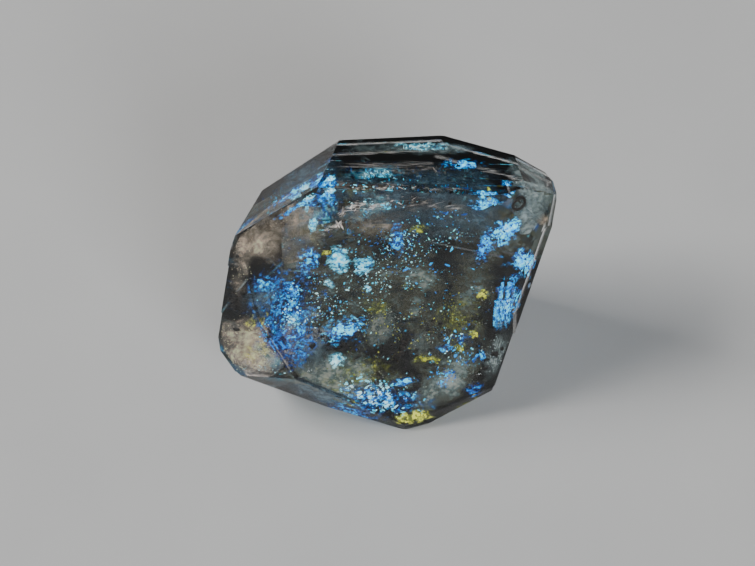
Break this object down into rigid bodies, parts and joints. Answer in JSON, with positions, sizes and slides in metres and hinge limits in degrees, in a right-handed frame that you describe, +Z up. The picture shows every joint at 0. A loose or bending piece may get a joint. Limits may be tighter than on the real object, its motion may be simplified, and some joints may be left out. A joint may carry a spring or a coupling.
{
  "type": "petroleum quartz crystal",
  "caption": "Small clear quartz crystal with pyramid ends, standing on a flat contact face, filled with glowing blue and yellow oil flecks, smoky veils and black specks.",
  "frame": {"origin": "middle of the bounding box in plan, on the resting face", "axes": "+Z up from the resting face, +X to the right across the broad face, -Y out of the broad front face"},
  "size_m": [0.015, 0.0084, 0.0141],
  "materials": {
    "quartz": "natural crystal faces, clear and slightly smoky",
    "blue_oil": "oil film, glowing blue",
    "pale_oil": "oil film, glowing pale cyan",
    "yellow_oil": "oil film, glowing yellow",
    "veil": "cloudy healed cracks",
    "bitumen": "black solid bitumen"
  },
  "bodies": {
    "root": {"quartz_crystal": "quartz"}
  },
  "joints": []
}
